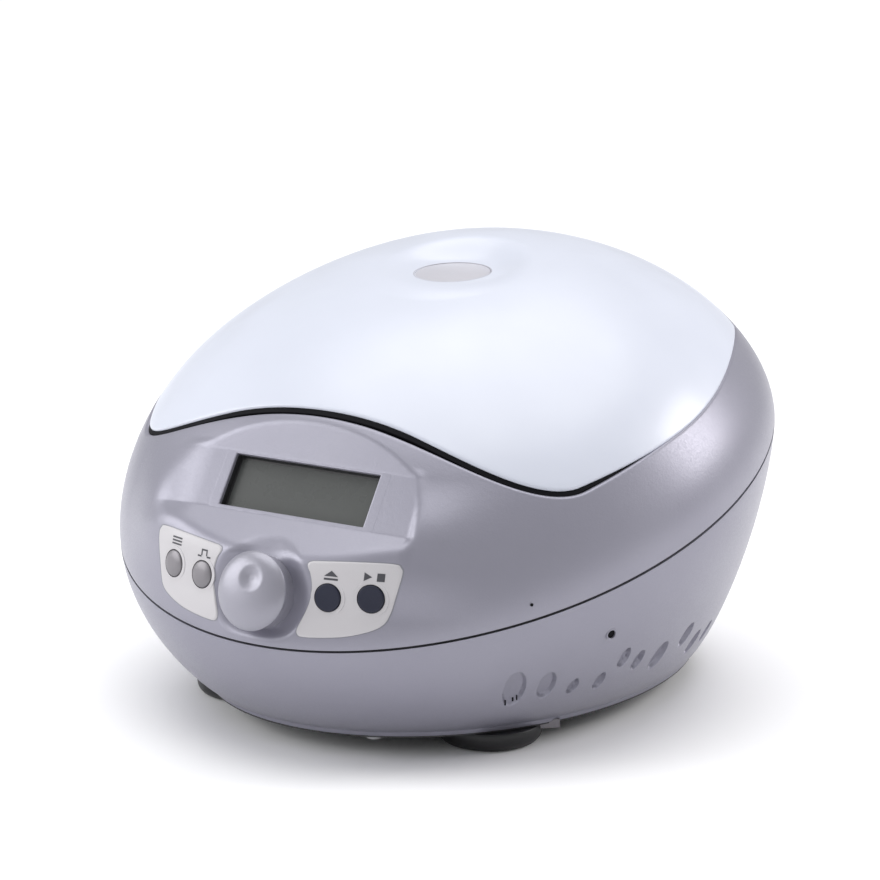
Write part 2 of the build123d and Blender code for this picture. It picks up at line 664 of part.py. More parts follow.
with BuildPart() as button_switches:
    for plane in BUTTONS.values():
        back = plane.origin - plane.z_dir * 8.0
        reach = (back - BOARD.origin).dot(BOARD.z_dir) - 1.6
        foot_point = back - BOARD.z_dir * reach
        seat = Plane(origin=foot_point, x_dir=(1, 0, 0), z_dir=BOARD.z_dir)
        add(seat * Box(6, 6, reach - 2, align=(Align.CENTER, Align.CENTER, Align.MIN), mode=Mode.PRIVATE))
        add(rod(1.6, reach, seat))
save(button_switches.part, "button_switches")

# ---- mains side: main board, inlet with fuse drawer, rocker switch ----
with BuildPart() as main_board:
    add(block((-50, 48, 14.5), (50, 94, 16.1)))
save(main_board.part, "main_board")

with BuildPart() as board_standoffs:
    with BuildSketch(Plane.XY.offset(BASE_Z)):
        with Locations((0, 71)):
            with GridLocations(88, 36, 2, 2):
                Circle(2.6)
    extrude(amount=14.5 - BASE_Z)
save(board_standoffs.part, "board_standoffs")

with BuildPart() as board_components:
    add(rod(7, 12, Plane((-36, 62, 16.1))))
    add(rod(5, 10, Plane((-20, 60, 16.1))))
    add(block((-8, 52, 16.1), (14, 70, 26)))
    add(block((22, 54, 16.1), (44, 60, 30)))
    for i in range(5):
        add(block((22 + 4.4 * i, 60, 16.1), (24.2 + 4.4 * i, 70, 30)))
    add(block((-44, 80, 16.1), (-12, 90, 21)))
save(board_components.part, "board_components")

with BuildPart() as power_inlet:
    with BuildSketch(Plane.XZ.offset(-84)):
        with Locations((-20, 40)):
            Rectangle(27.6, 33.6)
    extrude(amount=-22)
    with BuildSketch(Plane.XZ.offset(-106)) as s:
        with Locations((-20, 40)):
            Rectangle(34, 38)
        fillet(s.vertices(), 3)
    extrude(amount=-2.4)
    with BuildSketch(Plane.XZ.offset(-92)) as s:                  # plug socket
        with Locations((-20, 34.5)):
            Rectangle(24.4, 16.6)
        fillet(s.vertices().group_by(Axis.Z)[0], 4)
    extrude(amount=-18, mode=Mode.SUBTRACT)
    with BuildSketch(Plane.XZ.offset(-90)):                       # fuse drawer slot
        with Locations((-20, 51)):
            Rectangle(24.4, 9)
    extrude(amount=-20, mode=Mode.SUBTRACT)
save(power_inlet.part, "power_inlet")

with BuildPart() as inlet_pins:
    for x, z in ((-27, 33), (-13, 33), (-20, 37)):
        add(block((x - 1, 92, z - 2), (x + 1, 105, z + 2)))
save(inlet_pins.part, "inlet_pins")

with BuildPart() as fuse_drawer:
    add(block((-31.8, 91, 46.9), (-8.2, 108.4, 55.1)))
    add(block((-31.8, 108.4, 46.9), (-8.2, 109.4, 55.1)))
    add(block((-24, 109.4, 53), (-16, 110.4, 55.1)))
save(fuse_drawer.part, "fuse_drawer")

with BuildPart() as switch_frame:
    with BuildSketch(Plane.XZ.offset(-94)):
        with Locations((24, 40)):
            Rectangle(12.6, 19.6)
    extrude(amount=-12)
    with BuildSketch(Plane.XZ.offset(-106)) as s:
        with Locations((24, 40)):
            Rectangle(15.4, 22.4)
        fillet(s.vertices(), 1.5)
    extrude(amount=-1.6)
    with BuildSketch(Plane.XZ.offset(-97)):
        with Locations((24, 40)):
            Rectangle(9.4, 16.4)
    extrude(amount=-14, mode=Mode.SUBTRACT)
    add(rod(1.0, 13, Plane(origin=(17.5, 104, 40), x_dir=(0, 1, 0), z_dir=(1, 0, 0))))
save(switch_frame.part, "switch_frame")

with BuildPart() as rocker:
    with BuildSketch(Plane.YZ.offset(24 - 4.3)):
        with BuildLine():
            Polyline((101, 36), (106.2, 33), (109, 33), (107.2, 40), (109, 47), (106.2, 47),
                     (101, 44), close=True)
        make_face()
    extrude(amount=8.6)
    add(rod(1.0 + RUN, 13, Plane(origin=(17.5, 104, 40), x_dir=(0, 1, 0), z_dir=(1, 0, 0))),
        mode=Mode.SUBTRACT)
save(rocker.part, "rocker")
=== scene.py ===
import bpy
import json
import numpy as np
from math import atan, cos, pi, radians, sin
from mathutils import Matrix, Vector


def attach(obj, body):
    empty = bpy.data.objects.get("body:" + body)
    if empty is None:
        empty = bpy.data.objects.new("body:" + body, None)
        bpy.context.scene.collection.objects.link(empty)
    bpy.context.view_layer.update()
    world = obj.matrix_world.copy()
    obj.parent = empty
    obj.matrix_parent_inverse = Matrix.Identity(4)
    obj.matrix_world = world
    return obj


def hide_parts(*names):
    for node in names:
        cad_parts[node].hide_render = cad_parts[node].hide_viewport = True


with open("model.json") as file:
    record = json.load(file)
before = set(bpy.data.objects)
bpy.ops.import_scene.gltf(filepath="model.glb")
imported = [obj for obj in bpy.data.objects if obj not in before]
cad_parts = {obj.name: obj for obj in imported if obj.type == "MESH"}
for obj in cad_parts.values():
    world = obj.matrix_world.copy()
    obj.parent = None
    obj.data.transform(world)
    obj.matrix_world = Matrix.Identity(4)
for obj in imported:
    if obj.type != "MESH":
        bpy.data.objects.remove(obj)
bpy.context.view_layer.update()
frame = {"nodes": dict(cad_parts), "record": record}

# Lengths below are millimetres in the row frame; mesh() turns them into metres.
# The seam: half width, half depth, height at the middle and slope towards the back.
HALF_W, HALF_D, SEAM_Z, RISE = 122.5, 129.2, 85.0, 0.3068
TILT, SEAM_GAP = atan(RISE), 0.8
# The dome: height, then its bulge upwards and in plan at the front, side and rear, and its forward lean.
DOME_H, DOME_P, DOME_Q = 75.217, (1.25, 1.955, 1.069), (2.399, 2.208, 3.232)
DOME_LEAN = (17.414, 2.703)
# The bowl: bulge at the front, side and rear, share of width and depth lost, backward shift, foot height.
BOWL_P, BOWL_Q = (2.07, 1.467, 0.8), 1.256
BOWL_LOSS_X, BOWL_LOSS_Y, BOWL_SHIFT, BOWL_FOOT_Z = 0.28, 0.145, 5.364, 9.457
# The lid seen from the side, the deck under it, the rotor's axis and the slant of the display.
LID_FRONT, LID_CORNER, LID_SIDE, DECK_H = -84.0, 16.0, 35.2, 29.3
AXIS_Y = 3.4
SLANT = radians(54.5)
HALVINGS = 40
UP = np.array((0, 0, 1.0))


# ---------------------------------------------------------------- the body's surfaces
def smooth(a, b, x):
    """Smooth step from 0 at a to 1 at b."""
    t = np.clip((np.asarray(x, float) - a) / (b - a), 0.0, 1.0)
    return t * t * (3 - 2 * t)


def unit(v):
    return v / np.maximum(np.linalg.norm(v, axis=-1, keepdims=True), 1e-9)


def side_normal(p):
    """Level outward direction at a point of the body."""
    return unit(np.array((p[0] / HALF_W ** 2, p[1] / HALF_D ** 2, 0.0)))


def mixed(values, turn):
    """Blend of a front, a side and a rear value by direction."""
    s = np.sin(turn)
    front, rear = np.clip(-s, 0, 1) ** 2, np.clip(s, 0, 1) ** 2
    return values[0] * front + values[2] * rear + values[1] * (1 - front - rear)


def lean(h):
    """How far forwards the dome has moved at the share h of its height."""
    return DOME_LEAN[0] * h + DOME_LEAN[1] * h * h


def dome(turn, s):
    """Point on the dome; s runs from 0 at the seam to pi/2 at the top."""
    p, q = mixed(DOME_P, turn), mixed(DOME_Q, turn)
    g, h = np.cos(s) ** (2 / q), np.sin(s) ** (2 / p)
    y = HALF_D * g * np.sin(turn) - lean(h)
    return np.stack([HALF_W * g * np.cos(turn), y, SEAM_Z + RISE * y + DOME_H * h], -1)


def dome_z(x, y):
    """Height of the dome over a plan position."""
    lo, hi = np.zeros_like(x), np.ones_like(x)
    for _ in range(HALVINGS):
        h = (lo + hi) / 2
        px, py = x / HALF_W, (y + lean(h)) / HALF_D
        turn = np.arctan2(py, px)
        edge = (1 - h ** mixed(DOME_P, turn)) ** (1 / mixed(DOME_Q, turn))
        inside = np.hypot(px, py) < edge
        lo, hi = np.where(inside, h, lo), np.where(inside, hi, h)
    return SEAM_Z + RISE * y + DOME_H * lo


def bowl_loss(turn, s):
    """Share of the bowl's narrowing that is reached at s."""
    return 1 - (1 - np.clip(s, 0, 1) ** mixed(BOWL_P, turn)) ** (1 / BOWL_Q)


def bowl(turn, s):
    """Point on the base; s runs from 0 at the seam to 1 at the bottom edge."""
    loss = bowl_loss(turn, s)
    x = HALF_W * (1 - BOWL_LOSS_X * loss) * np.cos(turn)
    y = HALF_D * (1 - BOWL_LOSS_Y * loss) * np.sin(turn) + BOWL_SHIFT * s
    z = SEAM_Z - SEAM_GAP * (1 - s) + (BOWL_FOOT_Z - SEAM_Z) * s + RISE * (1 - s) * y
    return np.stack([x, y, z], -1)


def lid_height(y):
    """Height of the lid's side edge over the seam: lower at the rear corners, higher at the hinges."""
    back = smooth(72, 94, y)
    sunk = 7.2 * np.clip((y - 15) / 57, 0, 1) ** 2.6
    return LID_SIDE - 1.5 * smooth(-60, 0, y) - sunk * (1 - back) + 0.8 * back


def lid_distance(p):
    """How far a point is inside the lid's outline, seen from the side; the front corner is rounded."""
    y, z, r = p[..., 1], p[..., 2], LID_CORNER
    past_front = y - LID_FRONT
    over_side = (z - SEAM_Z - lid_height(y) - RISE * y) * cos(TILT)
    cy = LID_FRONT + r
    cz = SEAM_Z + LID_SIDE + RISE * cy + r / cos(TILT)
    ay, az = y - cy, z - cz
    corner = (az < 0) & (ay * cos(TILT) + az * sin(TILT) < 0)
    return np.where(corner, r - np.hypot(ay, az), np.minimum(past_front, over_side))


def lid_edge(turn, gap):
    """The s at which the dome crosses the lid's outline, less a gap."""
    lo, hi = np.full_like(turn, 0.05), np.full_like(turn, 1.45)
    for _ in range(HALVINGS):
        s = (lo + hi) / 2
        under = lid_distance(dome(turn, s)) < -gap
        lo, hi = np.where(under, s, lo), np.where(under, hi, s)
    return lo


def lid_gap(turn):
    """Width of the gap round the lid, wider at the front."""
    y = dome(turn, lid_edge(turn, 0.0))[:, 1]
    return 0.7 + 2.5 * (1 - smooth(LID_FRONT, -20, y))


# ---------------------------------------------------------------- making meshes
def grid_normals(rows):
    """Normal at each point of a closed grid."""
    along = np.roll(rows, -1, 1) - np.roll(rows, 1, 1)
    return unit(np.cross(along, np.gradient(rows, axis=0)))


def cell_centres(rows):
    """Middle of each cell of a closed grid."""
    after = np.roll(rows, -1, 1)
    return (rows[:-1] + rows[1:] + after[:-1] + after[1:]) / 4


def off_axis(points, origin, axis):
    """Height of points along an axis and their distance from it."""
    q = points - origin
    along = q @ axis
    return along, np.linalg.norm(q - along[..., None] * axis, axis=-1)


def corner_angles(count):
    """Signs of a rectangle's four corners, each with the angles in degrees that round it."""
    for sx, sy, first in ((1, 1, 0), (-1, 1, 90), (-1, -1, 180), (1, -1, 270)):
        for t in np.linspace(0, 90, count):
            yield sx, sy, radians(first + t)


def mesh(name, points, faces):
    """A smooth-shaded object from points in millimetres, linked to the scene."""
    data = bpy.data.meshes.new(name)
    data.from_pydata((np.asarray(points, float) * 0.001).tolist(), [], faces)
    data.validate()
    data.update()
    obj = bpy.data.objects.new(name, data)
    bpy.context.collection.objects.link(obj)
    data.polygons.foreach_set("use_smooth", [True] * len(data.polygons))
    data.set_sharp_from_angle(angle=radians(38))
    return obj


def grid(name, rows, flip=False, cap=False, drop=None):
    """A skin over rows of points, each row a closed loop; drop marks the cells to leave out."""
    rows = np.asarray(rows, float)
    n, m = rows.shape[:2]
    i = np.arange(n - 1)[:, None]
    j = np.arange(m)[None]
    k = (j + 1) % m
    corners = np.broadcast_arrays(i * m + j, i * m + k, (i + 1) * m + k, (i + 1) * m + j)
    cells = np.stack(corners, -1).reshape(-1, 4)
    if drop is not None:
        cells = cells[~drop.reshape(-1)]
    faces = (cells[:, ::-1] if flip else cells).tolist()
    if cap:
        first, last = list(range(m)), list(range((n - 1) * m, n * m))
        faces += [first, last[::-1]] if flip else [first[::-1], last]
    return mesh(name, rows.reshape(-1, 3), faces)


def lathe(name, profile, origin, axis, steps=96, cap=True):
    """A turned piece: profile is (radius, height) pairs along the axis."""
    axis = unit(np.asarray(axis, float))
    side = unit(np.cross(axis, (0, 0, 1) if abs(axis[2]) < 0.9 else (0, 1, 0)))
    other = np.cross(axis, side)
    a = np.linspace(0, 2 * pi, steps, endpoint=False)
    ring = np.cos(a)[:, None] * side + np.sin(a)[:, None] * other
    rows = [np.asarray(origin) + r * ring + h * axis for r, h in profile]
    return grid(name, rows, cap=cap)


def curve_profile(points, steps=8):
    """Rounds a profile with a Catmull-Rom spline."""
    p = np.array([points[0], *points, points[-1]], float)
    out = []
    for i in range(1, len(p) - 2):
        before, here, there, after = p[i - 1:i + 3]
        for t in np.linspace(0, 1, steps, endpoint=False):
            slope = (there - before) * t
            bend = (2 * before - 5 * here + 4 * there - after) * t ** 2
            twist = (3 * here - before - 3 * there + after) * t ** 3
            out.append(0.5 * (2 * here + slope + bend + twist))
    return out + [p[-1]]


def polygon_distance(u, v, poly):
    """Signed distance to a closed outline in the plane, positive inside."""
    best, inside = np.full(u.shape, 1e9), np.zeros(u.shape, bool)
    for (ax, ay), (bx, by) in zip(poly, poly[1:] + poly[:1]):
        dx, dy = bx - ax, by - ay
        t = np.clip(((u - ax) * dx + (v - ay) * dy) / (dx * dx + dy * dy), 0, 1)
        best = np.minimum(best, np.hypot(u - ax - t * dx, v - ay - t * dy))
        cross = (ay > v) != (by > v)
        with np.errstate(divide="ignore", invalid="ignore"):
            inside ^= cross & (u < dx * (v - ay) / (dy if dy else 1e-9) + ax)
    return np.where(inside, best, -best)


def keep(obj, body, slot, material, *nodes):
    """Gives a piece its look and its body, and hides the CAD nodes it stands in for; slot is not used."""
    obj.data.materials.clear()
    obj.data.materials.append(material)
    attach(obj, body)
    if nodes:
        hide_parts(*nodes)
    return obj


# ---------------------------------------------------------------- materials
class Nodes:
    """Short-hand for building one material's nodes."""

    def __init__(self, name):
        self.mat = bpy.data.materials.new(name)
        self.mat.use_nodes = True
        self.tree = self.mat.node_tree
        self.bsdf = self.tree.nodes["Principled BSDF"]
        self.where = self.add("ShaderNodeTexCoord").outputs["Object"]

    def add(self, kind, **values):
        node = self.tree.nodes.new(kind)
        for key, value in values.items():
            if hasattr(node, key):
                setattr(node, key, value)
            else:
                node.inputs[key.replace("_", " ")].default_value = value
        return node

    def link(self, a, b):
        self.tree.links.new(a, b)

    def set(self, **values):
        for key, value in values.items():
            self.bsdf.inputs[key.replace("_", " ")].default_value = value

    def noise(self, scale, detail=3.0):
        n = self.add("ShaderNodeTexNoise", Scale=scale, Detail=detail, Roughness=0.5)
        self.link(self.where, n.inputs["Vector"])
        return n.outputs["Fac"]

    def cells(self, scale):
        n = self.add("ShaderNodeTexVoronoi", Scale=scale)
        self.link(self.where, n.inputs["Vector"])
        return n.outputs["Color"]

    def remap(self, source, a, b, low=0.0, high=1.0):
        n = self.add("ShaderNodeMapRange")
        for i, value in enumerate((a, b, low, high)):
            n.inputs[i + 1].default_value = value
        self.link(source, n.inputs["Value"])
        return n.outputs["Result"]

    def ramp(self, source, *stops):
        n = self.add("ShaderNodeValToRGB")
        e = n.color_ramp.elements
        while len(e) < len(stops):
            e.new(0.5)
        for item, (at, colour) in zip(e, stops):
            item.position, item.color = at, (*colour, 1)
        self.link(source, n.inputs["Fac"])
        return n.outputs["Color"]

    def colour(self, source):
        self.link(source, self.bsdf.inputs["Base Color"])

    def rough(self, source):
        self.link(source, self.bsdf.inputs["Roughness"])

    def bump(self, *layers):
        """Layers of (height, strength, distance in metres)."""
        last = None
        for height, strength, distance in layers:
            b = self.add("ShaderNodeBump", Strength=strength, Distance=distance)
            self.link(height, b.inputs["Height"])
            if last is not None:
                self.link(last, b.inputs["Normal"])
            last = b.outputs["Normal"]
        self.link(last, self.bsdf.inputs["Normal"])


def flake_paint(name, dark, light, metal=0.35, rough=0.36, grain=0.16):
    """Silver paint on moulded plastic: fine flake, faint mottling and a soft orange peel."""
    m = Nodes(name)
    m.set(Metallic=metal, Coat_Weight=0.15, Coat_Roughness=0.3)
    cloud = m.noise(14.0, 3.0)
    m.colour(m.ramp(cloud, (0.3, dark), (0.7, light)))
    flake = m.cells(2600.0)
    m.rough(m.remap(flake, 0.0, 1.0, rough - 0.07, rough + 0.10))
    m.bump((m.noise(900.0, 2.0), grain, 0.0002), (flake, grain * 0.9, 0.00012))
    return m.mat


def plain(name, colour, rough=0.5, metal=0.0, scale=600.0, bump=0.06, vary=0.12, **more):
    """Moulded or painted stuff: a little colour and roughness variation, fine grain."""
    m = Nodes(name)
    m.set(Metallic=metal, **more)
    c = np.array(colour)
    m.colour(m.ramp(m.noise(25.0, 4.0), (0.3, c * (1 - vary)), (0.7, np.minimum(c * (1 + vary), 1))))
    m.rough(m.remap(m.noise(60.0, 4.0), 0.3, 0.7, max(rough - 0.06, 0.02), rough + 0.06))
    m.bump((m.noise(scale, 3.0), bump, 0.0003))
    return m.mat


def turned(name, colour, rough=0.3, vary=0.03, stretch=(1, 1, 60)):
    """Machined or spun metal: fine rings round the upright axis."""
    m = Nodes(name)
    m.set(Metallic=1.0, Anisotropic=0.4)
    c = np.array(colour)
    mapping = m.add("ShaderNodeMapping")
    mapping.inputs["Scale"].default_value = stretch
    m.link(m.where, mapping.inputs["Vector"])
    noise = m.add("ShaderNodeTexNoise", Scale=60.0, Detail=4.0)
    m.link(mapping.outputs["Vector"], noise.inputs["Vector"])
    rings = noise.outputs["Fac"]
    m.colour(m.ramp(rings, (0.3, c * (1 - vary)), (0.7, np.minimum(c * (1 + vary), 1))))
    m.rough(m.remap(rings, 0.3, 0.7, rough - 0.02, rough + 0.03))
    m.bump((rings, 0.02, 0.0001))
    return m.mat


SILVER = flake_paint("silver_paint", (0.255, 0.25, 0.305), (0.285, 0.28, 0.335))
SILVER_BASE = flake_paint("silver_paint_base", (0.245, 0.24, 0.295), (0.27, 0.265, 0.32), grain=0.12)
SILVER_KNOB = flake_paint("silver_paint_knob", (0.29, 0.285, 0.335), (0.315, 0.31, 0.36), grain=0.14)
WHITE = plain("lid_white", (0.585, 0.61, 0.695), 0.34, scale=260.0, bump=0.02, vary=0.015,
              Coat_Weight=0.2, Coat_Roughness=0.2)
LINER = plain("liner_grey", (0.50, 0.51, 0.55), 0.45, scale=900.0, bump=0.10, vary=0.04)
RUBBER = plain("black_rubber", (0.014, 0.014, 0.016), 0.62, bump=0.15, vary=0.3)
FEET = plain("feet_rubber", (0.010, 0.010, 0.011), 0.42, bump=0.08, vary=0.3)
BLACK = plain("black_plastic", (0.02, 0.02, 0.022), 0.42, bump=0.10, vary=0.2)
# Near-black of the bottom plate: partly the plate's own dark colour, partly painted shade of the base's
# underside edge.
BOTTOM_PLATE_AND_SHADE = plain("black_plate_and_painted_shade", (0.025, 0.025, 0.028), 0.5, bump=0.12, vary=0.2)
LABEL = plain("label_film", (0.50, 0.485, 0.505), 0.40, scale=1400.0, bump=0.03, vary=0.02)
INK = plain("printed_ink", (0.05, 0.05, 0.06), 0.6, bump=0.02, vary=0.05)
TRIM = plain("window_trim", (0.34, 0.335, 0.38), 0.4, bump=0.03)
HAZE = plain("window_haze", (0.42, 0.41, 0.47), 0.5, scale=300.0, bump=0.05, vary=0.04)
# Darker grey of the ring round each label: painted shadow, the shadow line along the label's edge.
LABEL_SHADOW_LINE = plain("label_shadow_line", (0.22, 0.22, 0.25), 0.5, bump=0.03)
GREY_BUTTON = plain("grey_button", (0.20, 0.19, 0.205), 0.38, metal=0.4, scale=900.0, bump=0.04, vary=0.06)
DARK_BUTTON = plain("dark_button", (0.017, 0.019, 0.036), 0.45, scale=1200.0, bump=0.05, vary=0.1,
                    Specular_IOR_Level=0.3)
STEEL = turned("spun_steel", (0.52, 0.52, 0.54), 0.24)
PLATED = plain("zinc_plated", (0.36, 0.36, 0.37), 0.40, metal=1.0, scale=800.0, bump=0.05)
SHAFT = turned("ground_steel", (0.62, 0.62, 0.63), 0.16)
ANODISED = turned("dark_anodised", (0.085, 0.09, 0.105), 0.34)
COVER = turned("satin_anodised", (0.55, 0.56, 0.58), 0.28)
MOTOR = turned("motor_aluminium", (0.42, 0.42, 0.44), 0.36)
BOARD = plain("circuit_board", (0.02, 0.14, 0.06), 0.35, scale=300.0, bump=0.15, vary=0.25)
BRASS = plain("brass", (0.55, 0.38, 0.14), 0.28, metal=1.0)
CORE = plain("laminated_iron", (0.10, 0.09, 0.09), 0.55, metal=0.8, vary=0.2)
WINDOW = plain("window_clear", (0.47, 0.46, 0.52), 0.35, scale=300.0, bump=0.02, vary=0.03,
               Transmission_Weight=0.35, Specular_IOR_Level=0.15)
LENS = plain("display_lens", (0.078, 0.082, 0.080), 0.30, scale=2500.0, bump=0.01, vary=0.05,
             Specular_IOR_Level=0.25)
# Near-black painted shade for gaps, holes and slits; also the colour of the small dark pin mark.
GAP_SHADE_AND_MARK = plain("painted_gap_shade_and_mark", (0.006, 0.006, 0.008), 0.7, bump=0.03, Specular_IOR_Level=0.1)

# The look of each CAD node, by its slot.
SLOT_LOOKS = {
    "housing": SILVER, "base": SILVER_BASE, "lid": WHITE, "liner": LINER, "gasket": RUBBER,
    "rubber": RUBBER, "feet": FEET, "bottom_plate": BOTTOM_PLATE_AND_SHADE, "screws": PLATED, "labels": LABEL,
    "buttons_grey": GREY_BUTTON, "buttons_dark": DARK_BUTTON, "black_plastic": BLACK,
    "circuit_board": BOARD, "display_glass": LENS, "display_back": BLACK, "brushed_metal": PLATED,
    "knob": SILVER_KNOB, "chamber": STEEL, "motor_metal": MOTOR, "plated_steel": PLATED,
    "cast_core": CORE, "shaft_steel": SHAFT, "rotor": ANODISED, "rotor_cover": COVER,
    "rotor_nut": BLACK, "window": WINDOW, "window_ring": LINER, "spring_steel": SHAFT,
    "solenoid": BLACK, "brass": BRASS, "components": BLACK, "rocker": BLACK,
}
for part in frame["record"]["subparts"]:
    obj = frame["nodes"][part["node"]]
    look = SLOT_LOOKS[part["material_slot"]]
    for slot in obj.material_slots:
        slot.material = look
    if not obj.material_slots:
        obj.data.materials.append(look)

# ---------------------------------------------------------------- display plane, knob and the front's shape
# Origin, outward normal and upward direction of the display; origin and axis of the knob.
SCREEN_O = np.array((0, -99.95, 95.1))
SCREEN_N = np.array((0, -sin(SLANT), cos(SLANT)))
SCREEN_V = np.array((0, cos(SLANT), sin(SLANT)))
KNOB_O = np.array((0, -129.0, 64.7))
KNOB_N = np.array((0, -cos(radians(16)), sin(radians(16))))
# The hollow's outline in the display plane.
PLATE_EDGE = [(-56, -34), (-56, -10), (-55, 2), (-52, 14), (-44, 34),
              (40, 34), (47, 12), (50.5, 2), (52, -10), (52, -34)]


def panel(points):
    """The housing's front: a fuller chin, a flat hollow for the display and a dish round the knob."""
    x, y, z = points[..., 0], points[..., 1], points[..., 2]
    front = (y < -60).astype(float)
    out = unit(np.stack([x / HALF_W, y / HALF_D, 0.45 * np.ones_like(x)], -1))
    chin = 3.2 * smooth(58, 77, z) * (1 - smooth(84, 104, z)) * (1 - smooth(52, 84, np.abs(x))) * front
    p = points + out * chin[..., None]
    # The hollow's floor is flat, rises over and under the display and falls away at the left.
    d, u, v = (p - SCREEN_O) @ SCREEN_N, p[..., 0], (p - SCREEN_O) @ SCREEN_V
    rim_width = 2.4 + 5.6 * smooth(-8, -44, u)
    mask = smooth(-1, 1, polygon_distance(u, v, PLATE_EDGE) / rim_width) * front
    floor = np.where(v > 11, 0.26 * (v - 11), 0.0) + np.where(v < -11.5, 0.46 * (-11.5 - v), 0.0)
    floor = floor - 0.010 * np.clip(-u - 40, 0, 30) ** 2
    # A rounded minimum of the dome and the floor; the blend is wider lower down.
    blend = 0.5 + 1.4 * smooth(8, -14, v)
    share = np.clip(0.5 + 0.5 * (d - floor) / blend, 0, 1)
    target = d + (floor - d) * share - blend * share * (1 - share)
    ends = smooth(27, 33, np.abs(u)) * smooth(15, 9, v) * smooth(-24, -11.5, v)
    target = target + (floor - target) * ends
    p = p + SCREEN_N * (mask * (target - d))[..., None]
    along, r = off_axis(p, KNOB_O, KNOB_N)
    dish = -2.4 * (1 - smooth(13.0, 21.0, r)) * smooth(46.5, 52, z)
    return p + KNOB_N * (dish * (along < 12) * (along > -14) * front)[..., None]


# ---------------------------------------------------------------- upper housing
HOLE_R = 69.6
LIP = 1.5
DISPLAY_HALF_U, DISPLAY_HALF_V = 33.2, 10.6
HINGE_X, HINGE_HALF = 14, 8.8

# The skin goes from the seam to the lid's edge, finer over the front.
turns = np.concatenate([np.arange(-150, -30, 0.35), np.arange(-30, 210, 0.8)]) * pi / 180
end = lid_edge(turns, lid_gap(turns))
shares = np.linspace(0, 1, 170)[1:] ** 0.9
skin = panel(dome(turns[None], end[None] * shares[:, None]))
edge, edge_n = skin[-1], grid_normals(skin)[-1]
step = unit(skin[-1] - skin[-3])

# Then a rounded lip, the wall under the lid and the deck as far as the chamber's hole.
lip = [edge + step * LIP * sin(a) - edge_n * LIP * (1 - cos(a)) for a in np.radians((18, 36, 54, 72, 90))]
wall_top = lip[-1]
wall_foot = wall_top.copy()
wall_foot[:, 2] = np.minimum(SEAM_Z + DECK_H + RISE * wall_foot[:, 1], wall_top[:, 2] - 0.4)
walls = [wall_top + (wall_foot - wall_top) * t for t in np.linspace(0.08, 1, 12)]
angle = np.arctan2(wall_foot[:, 1] - AXIS_Y, wall_foot[:, 0])
hole = np.stack([HOLE_R * np.cos(angle), AXIS_Y + HOLE_R * np.sin(angle), np.zeros_like(angle)], -1)
hole[:, 2] = SEAM_Z + DECK_H + RISE * hole[:, 1]
deck = [wall_foot + (hole - wall_foot) * t for t in np.linspace(0.02, 1, 50)]

# At the seam the skin turns inwards.
foot = dome(turns, np.zeros_like(turns))
foot_n = unit(np.stack([foot[:, 0] / HALF_W ** 2, foot[:, 1] / HALF_D ** 2, 0 * turns], -1))
start = [foot - foot_n * inset + UP * lift for inset, lift in ((2.6, 0.8), (0.75, 0.8), (0.22, 1.0))]
rows = np.array([*start, *skin, *lip, *walls, *deck, hole - UP * 2.4])

# Openings for the display, the two hinges and the latch hook.
centre = cell_centres(rows) - SCREEN_O
across, along, above = np.abs(centre[..., 0]), np.abs(centre @ SCREEN_V), np.abs(centre @ SCREEN_N)
glass = (across < DISPLAY_HALF_U) & (along < DISPLAY_HALF_V) & (above < 0.5)
x, y, z = np.moveaxis(centre + SCREEN_O, -1, 0)
hinges = (np.abs(np.abs(x) - HINGE_X) < HINGE_HALF) & (y > 88) & (z > 141)
latch = (np.abs(x) < 4) & (np.abs(y + 78.25) < 6.25) & (z > 85)
housing = grid("upper_housing_skin", rows, drop=glass | hinges | latch)
keep(housing, "chassis", "housing", SILVER, "upper_housing")

# ---------------------------------------------------------------- base bowl with its oval vents
# Centre, width and height of each vent on the right; the left mirrors them.
VENTS = ((79.5, -82.8, 29.3, 8.2, 15.5), (86.9, -72.4, 29.0, 6.8, 11.8), (91.3, -60.7, 26.2, 4.2, 7),
         (96, -49, 25.8, 4.6, 7.5), (103, -43.6, 34.2, 4.8, 8.6), (103.6, -33.6, 30.8, 5.2, 8.4),
         (104.6, -19.6, 29, 7.8, 12), (107.9, -4.2, 33.6, 6.6, 10), (103.2, 9.6, 26.6, 7, 10),
         (101.4, 22, 27.5, 6, 9))
RELEASE = np.array((104.4, -57.6, 47.2))
# The flat pocket at the rear: half width, half height, middle height and where its floor stands.
POCKET_HALF_X, POCKET_HALF_Z, POCKET_Z, POCKET_Y = 45.6, 19.6, 40, 105.9
side_turns = np.arange(-50, 22, 0.2)
rear_turns, front_turns = np.arange(22, 158, 0.4), np.arange(230.4, 310, 0.8)
turns_b = np.concatenate([side_turns, rear_turns, 180 - side_turns[::-1], front_turns]) * pi / 180
# Levels from the seam to the bottom edge, closest where the vents are.
levels = [np.linspace(0, 0.36, 50), np.linspace(0.36, 0.93, 190)[1:], np.linspace(0.93, 1, 14)[1:]]
levels = np.concatenate(levels)
base_rows = bowl(turns_b[None], levels[:, None])
base_n = grid_normals(base_rows)
if base_n[60, 0] @ base_rows[60, 0] < 0:
    base_n = -base_n
for side in (-1, 1):
    for x, y, z, w, h in VENTS:
        c = np.array((side * x, y, z))
        n = side_normal(c)
        across = np.array((-n[1], n[0], 0.0))
        d = base_rows - c
        oval = np.hypot((d @ across) / (w / 2), d[..., 2] / (h / 2))
        depth = 1.5 + 0.09 * w * (1 - np.clip(oval, 0, 1) ** 2)
        sunk = (1 - smooth(0.88, 1.04, oval)) * depth * ((d @ n) > -12)
        base_rows = base_rows - base_n * sunk[..., None]

